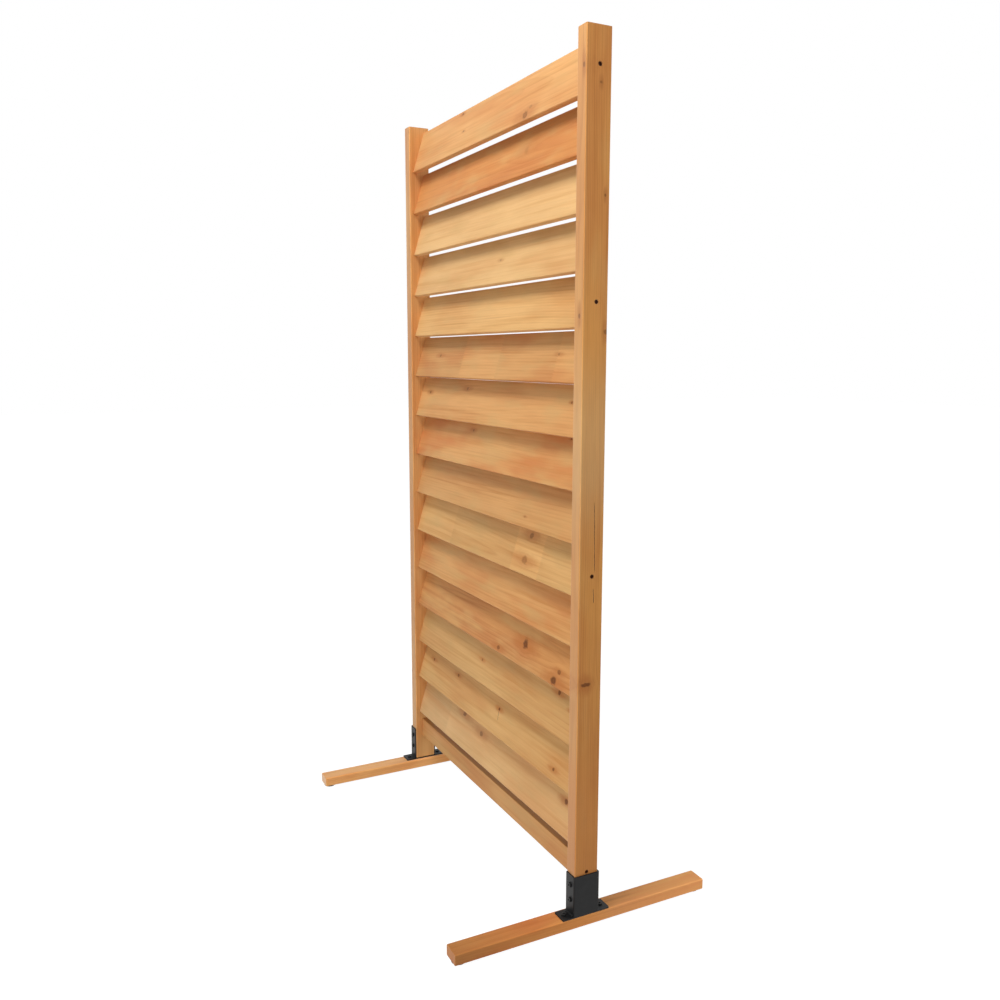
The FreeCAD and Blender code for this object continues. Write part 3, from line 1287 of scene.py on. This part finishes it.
@dataclass
class Brackets:
    """The bent steel channels on their base plates, with their screws.

    Attributes:
        post_screw_steel, coat, screw_coat: The finishes of the post screws, painted the shaded brown of their
            recesses, of the steel and of the black screws.
        steel: The thickness of the steel.
        bend_radius, plate_corner: The outer radius of the bends and the radius of the plate's corners.
        edge_break: The width of the broken edges.
        clearance: The room between the post and the flanges.
        flange_set_back: How far the flanges stop short of the post's inner side.
        bead_radius, bead_inset: The weld beads' radius, and how far they stop short of a flange's ends.
        ripple_pitch, ripple: The distance between their ripples, and its height as a share of the radius.
        hole_radius, tab_hole: The screw holes' radius, and how far inside their outer side tab holes lie.
        flange_drill, plate_drill: The lengths of the drills for both flanges and for the plate.
    """

    post_screw_steel: CoatedSteel
    coat: CoatedSteel = CoatedSteel()
    screw_coat: CoatedSteel = CoatedSteel()
    steel: float = 3.0 * MM
    bend_radius: float = 3.5 * MM
    plate_corner: float = 3.0 * MM
    edge_break: float = 0.35 * MM
    clearance: float = 0.3 * MM
    flange_set_back: float = 2.3 * MM
    bead_radius: float = 1.7 * MM
    bead_inset: float = 1.5 * MM
    ripple_pitch: float = 3.2 * MM
    ripple: float = 0.12
    hole_radius: float = 2.75 * MM
    tab_hole: float = 5.5 * MM
    flange_drill: float = 200 * MM
    plate_drill: float = 90 * MM

    def build(self) -> None:
        """Builds both brackets and dresses the screws."""
        coat = self.coat.material("black_powder_coat")
        screws = self.screw_coat.material("black_screw_coat")
        # The post screws are painted the dark brown of their shaded recesses: painted shade.
        dark = self.post_screw_steel.material("post_screw_recess_shade")
        right = self.bracket()
        left = mirrored(right, "post_bracket_left_steel")
        for side, piece in ((Side.RIGHT, right), (Side.LEFT, left)):
            soften(piece, 40.0)
            fit(piece, coat, "black_steel", side.node("post_bracket"))
            redress(side.node("bracket_screws"), screws)
            redress(side.node("base_screws"), screws)
            redress(side.node("post_screws"), dark)

    def bracket(self) -> Piece:
        """Bends the channel, cuts the plate and welds them.

        Returns:
            The right bracket.
        """
        low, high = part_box("post_bracket_right")
        post_low, post_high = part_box("post_right")
        flange_x = post_low.x + self.flange_set_back
        wall = self.steel + self.clearance
        channel_low = Vector((flange_x, post_low.y - wall, low.z + self.steel / 2))
        channel_high = Vector((high.x, post_high.y + wall, high.z))
        channel = self._channel(channel_low, channel_high)
        plate_high = Vector((high.x, high.y, low.z + self.steel))
        plate = block("plate", plate_high - low, (low + plate_high) / 2)
        bevel_edges(plate, runs_along(2), self.plate_corner, 5)
        for part in (channel, plate):
            modify(part, "BEVEL", width=self.edge_break, segments=2, limit_method="ANGLE",
                   angle_limit=math.radians(50))
        bead = self._bead(flange_x, high.x - self.bend_radius, plate_high.z)
        faces = [Matrix.Translation((0.0, face, 0.0)) for face in (channel_low.y, channel_high.y)]
        cut_away(channel, [plate], union=True)
        cut_away(channel, copies(bead, faces), union=True)
        cut_away(channel, self._drills())
        return channel

    def _channel(self, low: Vector, high: Vector) -> Piece:
        """Takes the top, the bottom and the inner side off a block, and bends the three walls left.

        Args:
            low: The block's lowest corner.
            high: Its highest corner.

        Returns:
            The channel.
        """
        channel = block("post_bracket_right_steel", high - low, (low + high) / 2)
        take(channel)
        bpy.ops.object.mode_set(mode="EDIT")
        bpy.ops.mesh.select_mode(type="FACE")
        bpy.ops.mesh.select_all(action="DESELECT")
        mesh = bmesh.from_edit_mesh(channel.data)
        for face in mesh.faces:
            face.select_set(abs(face.normal.z) > 0.9 or face.normal.x < -0.9)
        bmesh.update_edit_mesh(channel.data)
        bpy.ops.mesh.delete(type="ONLY_FACE")
        bpy.ops.object.mode_set(mode="OBJECT")
        bends = runs_along(2)
        bevel_edges(channel, lambda a, b: bends(a, b) and a.x > high.x - HAIR, self.bend_radius, 6)
        modify(channel, "SOLIDIFY", thickness=self.steel, offset=-1.0, use_even_offset=True)
        return channel

    def _bead(self, start: float, end: float, height: float) -> Piece:
        """A rippled weld bead for the corner between a flange and the plate.

        Args:
            start: Where the flange's straight foot starts.
            end: Where it ends.
            height: The plate's top.

        Returns:
            The bead, in the plane between the two flanges.
        """
        middle, half = (start + end) / 2, (end - start) / 2 - self.bead_inset
        bead = rod("bead", self.bead_radius, 2 * half, X, Vector((middle, 0.0, height)), sides=16)
        divide_edges(bead, 0, 27)
        for vertex in bead.data.vertices:
            swell = 1.0 + self.ripple * math.sin((vertex.co.x - start) * 2 * math.pi / self.ripple_pitch)
            if abs(vertex.co.x - middle) > half - 0.2 * MM:
                swell *= 0.7
            vertex.co.y *= swell
            vertex.co.z = height + (vertex.co.z - height) * swell
        return bead

    def _drills(self) -> list[Piece]:
        """Drills for the holes in the flanges and the plate.

        Returns:
            The drills.
        """
        low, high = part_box("base_screws_right")
        middle = (low.x + high.x) / 2
        tabs = [Vector((middle, y, 0.0)) for y in (low.y + self.tab_hole, high.y - self.tab_hole)]
        drills = []
        for axis, reach, points in ((Y, self.flange_drill, screw_middles("bracket_screws_right")),
                                    (Z, self.plate_drill, tabs)):
            drill = rod("hole_drill", self.hole_radius, reach, axis, sides=24)
            drills += copies(drill, [Matrix.Translation(point) for point in points])
        return drills


# ---------------------------------------------------------------- studio

def add_to_scene(name: str, data: bpy.types.ID, placement: Matrix) -> Piece:
    """Puts a lamp or a camera in the scene.

    Args:
        name: Its name.
        data: The lamp's or the camera's data.
        placement: Where it goes and how it is turned.

    Returns:
        The new object.
    """
    made = bpy.data.objects.new(name, data)
    bpy.context.scene.collection.objects.link(made)
    made.matrix_world = placement
    return made


@dataclass(frozen=True)
class Lamp:
    """A soft square lamp.

    Attributes:
        place, target: Where it hangs and what it points at.
        size: The side of its square.
        power: Its power in watts.
    """

    name: str
    place: tuple[float, float, float]
    target: tuple[float, float, float]
    size: float
    power: float

    def hang(self) -> None:
        """Hangs the lamp."""
        light = bpy.data.lights.new(self.name, "AREA")
        light.shape = "SQUARE"
        light.size = self.size
        light.energy = self.power
        turn = (Vector(self.target) - Vector(self.place)).to_track_quat("-Z", "Y")
        add_to_scene(self.name, light, Matrix.Translation(self.place) @ turn.to_matrix().to_4x4())


@dataclass
class Studio:
    """A pale floor, soft light and the photograph's camera.

    Attributes:
        focal_length, sensor_width: The lens and its sensor, in millimetres.
        sight: How far the camera sees, in metres.
        camera_place: Where the camera stands.
        heading, dip, roll: Its turn to the left, its dip and its roll, in degrees.
        front_ambient, back_ambient, sky_tint: How strong the light all round is, and its colour.
        floor_grey: The floor's colour where it throws light on the screen.
        veil_grey, floor_glow: The part of the seen floor that takes shadows, and how bright the rest is.
    """

    focal_length: float = 33.844
    sensor_width: float = 36.0
    sight: float = 100.0
    camera_place: tuple[float, float, float] = (2.0197, -0.9980, 1.1969)
    heading: float = 63.135
    dip: float = 8.609
    roll: float = 0.082
    front_ambient: float = 0.365
    back_ambient: float = 0.26
    sky_tint: Colour = (0.97, 1.0, 0.93, 1.0)
    floor_grey: Colour = (0.66, 0.66, 0.66, 1.0)
    veil_grey: Colour = (0.22, 0.22, 0.22, 1.0)
    floor_glow: float = 0.95
    lamps: tuple[Lamp, ...] = (Lamp("key_light", (0.4, -1.2, 3.6), (0.0, 0.0, 0.9), 1.0, 50.0),
                               Lamp("low_light", (0.5, -1.5, 0.35), (0.0, 0.0, 0.4), 0.6, 5.0),
                               Lamp("side_light", (3.2, 1.4, 1.9), (0.2, 0.0, 0.6), 2.0, 26.0))

    def build(self) -> None:
        """Sets the stage."""
        bpy.context.scene.view_settings.view_transform = "Standard"
        self.camera()
        self.sky()
        self.floor()
        for lamp in self.lamps:
            lamp.hang()

    def camera(self) -> None:
        """Puts the camera where the photograph was taken."""
        turn, dip, roll = (math.radians(value) for value in (self.heading, self.dip, self.roll))
        forward = Vector((-math.sin(turn) * math.cos(dip), math.cos(turn) * math.cos(dip), -math.sin(dip)))
        level = Vector((math.cos(turn), math.sin(turn), 0.0))
        upright = level.cross(forward)
        right = level * math.cos(roll) + upright * math.sin(roll)
        up = upright * math.cos(roll) - level * math.sin(roll)
        columns = Matrix((right, up, -forward)).transposed()
        placement = Matrix.Translation(self.camera_place) @ columns.to_4x4()
        camera = add_to_scene("photo_camera", bpy.data.cameras.new("photo_camera"), placement)
        camera.data.sensor_width = self.sensor_width
        camera.data.lens = self.focal_length
        camera.data.clip_end = self.sight
        bpy.context.scene.camera = camera

    def sky(self) -> None:
        """Lights softly from all round, most from the front, and shows white behind the screen."""
        world = bpy.data.worlds.new("studio")
        bpy.context.scene.world = world
        sheet = NodeSheet(world)
        heading = sheet.part(sheet.node("ShaderNodeTexCoord").outputs["Generated"], 1)
        strength = sheet.remap(heading, -0.7, 0.5, self.front_ambient, self.back_ambient)
        light = sheet.shader("ShaderNodeBackground", Color=self.sky_tint, Strength=strength)
        backdrop = sheet.shader("ShaderNodeBackground", Color=(1.0, 1.0, 1.0, 1.0))
        sheet.end("ShaderNodeOutputWorld", sheet.seen_as(light, backdrop))

    def floor(self) -> None:
        """Lays a white floor that keeps the screen's soft shadow."""
        deselect()
        bpy.ops.mesh.primitive_plane_add(size=40.0)
        floor = bpy.context.object
        floor.name = "studio_floor"
        sheet, paint = NodeSheet.material("white_floor")
        boards = sheet.shader("ShaderNodeBsdfDiffuse", Color=self.floor_grey)
        veil = sheet.shader("ShaderNodeBsdfDiffuse", Color=self.veil_grey)
        glow = sheet.shader("ShaderNodeEmission", Strength=self.floor_glow)
        seen = sheet.node("ShaderNodeAddShader", {0: veil, 1: glow}).outputs[0]
        sheet.end("ShaderNodeOutputMaterial", sheet.seen_as(boards, seen))
        floor.data.materials.append(paint)


# ---------------------------------------------------------------- this screen

def louvre_timbers() -> tuple[Timber, ...]:
    """The fifteen boards, each with its own wood.

    Returns:
        Their timber from the top down.
    """
    return (
        Timber(Stain.HONEY, seed=1.0, tone=1.02, redness=0.5, pith=(20.0, -25.0),
               knots=(Knot(197, -42, 10, 1.0, 0.5), Knot(-135, -4, 2.0, 1.1, 0.6),
                      Knot(-168, 46, 3, 1.2, 0.8), Knot(215, -28, 4, 1.6, 0.2))),
        Timber(Stain.ORANGE, seed=2.0, tone=1.0, redness=0.3, pith=(-10.0, -40.0),
               knots=(Knot(182, 2, 8, 1.3, 0.15, bark=0.2),)),
        Timber(Stain.CREAM, seed=3.0, tone=1.06, redness=0.15, pith=(30.0, -20.0), contrast=0.2, fleck=0.1),
        Timber(Stain.CREAM, seed=4.0, tone=1.03, redness=0.45, pith=(0.0, -30.0), contrast=0.25, fleck=0.1,
               knots=(Knot(61, 1, 3, 1.2, 0.3),)),
        Timber(Stain.STRAW, seed=5.0, tone=1.04, redness=0.45, pith=(60.0, -15.0), contrast=0.5),
        Timber(Stain.HONEY, seed=6.0, tone=0.9, redness=0.65, pith=(-50.0, -15.0), contrast=0.5,
               joints=(FingerJoint(-140, 0.08), FingerJoint(60, -0.05), FingerJoint(325, 0.06)),
               knots=(Knot(-289, 3, 4, 1.6, 0.4), Knot(325, 5, 3, 1.6, 0.3))),
        Timber(Stain.HONEY, seed=7.0, tone=1.0, redness=0.3, pith=(10.0, -25.0),
               knots=(Knot(-366, 13, 4, 1.2, 0.65), Knot(373, 16, 2.5, 1.0, 0.8),
                      Knot(-137, 30, 4, 1.5, 0.4))),
        Timber(Stain.HONEY, seed=8.0, tone=0.99, redness=1.0, pith=(40.0, -20.0),
               knots=(Knot(-106, 36, 3.5, 1.2, 0.5), Knot(358, 51, 2.5, 1.0, 0.9))),
        Timber(Stain.HONEY, seed=9.0, tone=0.91, redness=0.25, pith=(25.0, -35.0),
               knots=(Knot(199, -30, 2.0, 1.0, 0.5),)),
        Timber(Stain.STRAW, seed=10.0, tone=0.98, redness=0.25, smoke=0.7, pith=(-20.0, -25.0),
               joints=(FingerJoint(-199, -0.05), FingerJoint(141, 0.1), FingerJoint(267, -0.09)),
               knots=(Knot(194, -22, 10, 1.3, 0.4, bark=0.4), Knot(199, 36, 8, 1.1, 0.5))),
        Timber(Stain.HONEY, seed=11.0, tone=0.94, redness=0.6, pith=(15.0, -20.0)),
        Timber(Stain.RUSSET, seed=12.0, tone=1.04, redness=0.25, pith=(5.0, -30.0), contrast=0.45,
               knots=(Knot(191, -3, 12, 1.0, 0.9), Knot(77, -43, 6, 1.3, 0.6), Knot(339, -43, 10, 1.1, 0.9),
                      Knot(352, -20, 5, 1.3, 0.6))),
        Timber(Stain.STRAW, seed=13.0, tone=0.86, redness=0.45, pith=(10.0, -30.0),
               knots=(Knot(-37, 1, 3, 1.2, 0.5), Knot(389, 12, 3, 1.1, 0.8), Knot(329, 34, 6, 1.0, 0.8))),
        Timber(Stain.STRAW, seed=14.0, tone=0.88, redness=0.55, pith=(-5.0, -20.0),
               knots=(Knot(-359, 15, 4, 1.2, 0.6), Knot(-196, 19, 4, 1.2, 0.6), Knot(53, 10, 4, 1.1, 0.9),
                      Knot(337, -30, 4, 1.2, 0.7)),
               checks=(Check((53, 6), (58, -18)),)),
        Timber(Stain.CREAM, seed=15.0, tone=0.89, redness=0.5, pith=(20.0, -25.0), bloom=0.6,
               joints=(FingerJoint(-240, 0.05),),
               knots=(Knot(-162, 30, 7, 1.3, 0.6), Knot(-53, 15, 7, 1.3, 0.5), Knot(371, 17, 6, 1.1, 0.8))),
    )


def post_timbers() -> dict[Side, Timber]:
    """The two posts' wood; the right one shows its knots and a crack on its outer side.

    Returns:
        The timber of each post.
    """
    right = Timber(Stain.AMBER, seed=31.0, tone=1.0, drift=0.3, redness=0.35, pith=(-110.0, -20.0),
                   contrast=0.45, ring_width=5.0, edge_lift=0.35, bloom=0.8, end_tone=0.75, smoke=0.15,
                   # The first band paints the front face paler than the outer side: painted light. The second
                   # paints the middle length paler: sapwood, with a painted glare. The third is redder
                   # heartwood low down.
                   bands=(ToneBand(1, 22, 28, 0.18, 3),
                          ToneBand(0, -100, 110, 0.4, 60, fade=(150, 350)),
                          ToneBand(0, -460, -600, 0.35, 60, colour=stain(212, 122, 58))),
                   knots=(Knot(785, -5, 3, 1.0, 0.4), Knot(583, -18, 2.5, 1.2, 0.5),
                          Knot(328, -24, 5, 1.0, 0.5), Knot(-381, 9, 11, 0.4, 0.8),
                          Knot(814, 8, 4, 1.3, 0.5, KnotAxis.ACROSS),
                          Knot(358, 3, 4, 1.3, 0.5, KnotAxis.ACROSS)),
                   checks=(Check((-1, -5), (-151, -8)), Check((-181, -6), (-212, -7))))
    left = Timber(Stain.HONEY, seed=32.0, tone=0.97, drift=0.12, redness=0.4, pith=(-90.0, -30.0),
                  contrast=0.4, ring_width=5.0, edge_lift=0.3, bloom=0.5, end_tone=0.75, smoke=0.1)
    return {Side.RIGHT: right, Side.LEFT: left}


def foot_timbers() -> dict[Side, Timber]:
    """The two feet's wood, a shade more orange than the boards.

    Returns:
        The timber of each foot.
    """
    # Painted light: the drift and the band make the back end, behind the screen, lighter and yellower; partly
    # paler wood, partly light painted where the screen shades it.
    right = Timber(Stain.ORANGE, seed=51.0, tone=1.15, drift=0.95, redness=0.6, pith=(4.0, -35.0),
                   ring_width=5.0, end_tone=1.05, smoke=0.1, bands=(ToneBand(0, -10, 110, 0.25, 30),))
    left = Timber(Stain.HONEY, seed=52.0, tone=1.2, redness=0.9, pith=(-6.0, -40.0),
                  ring_width=5.0, smoke=0.1, bloom=0.8, end_tone=1.05)
    return {Side.RIGHT: right, Side.LEFT: left}


def rail_timber() -> Timber:
    """The rail's wood, darker than the boards, with painted shade on its top face."""
    return Timber(Stain.HONEY, seed=40.0, tone=0.86, redness=0.4, pith=(10.0, -40.0), bloom=0.05, painted_top_shade=0.6)


def main() -> None:
    """Builds the screen on its frame and sets the stage."""
    logging.basicConfig(level=logging.INFO, format="%(name)s %(message)s")
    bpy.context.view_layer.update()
    louvres = Louvres(louvre_timbers(), rail_timber())
    louvres.build()
    Posts(louvres, post_timbers()).build()
    Feet(foot_timbers()).build()
    # The post screws' brown is painted shade, the colour of their shaded recesses.
    Brackets(CoatedSteel(stain(62, 28, 4), stain(92, 46, 10), specular=0.1)).build()
    Studio().build()


if __name__ == "__main__":
    main()
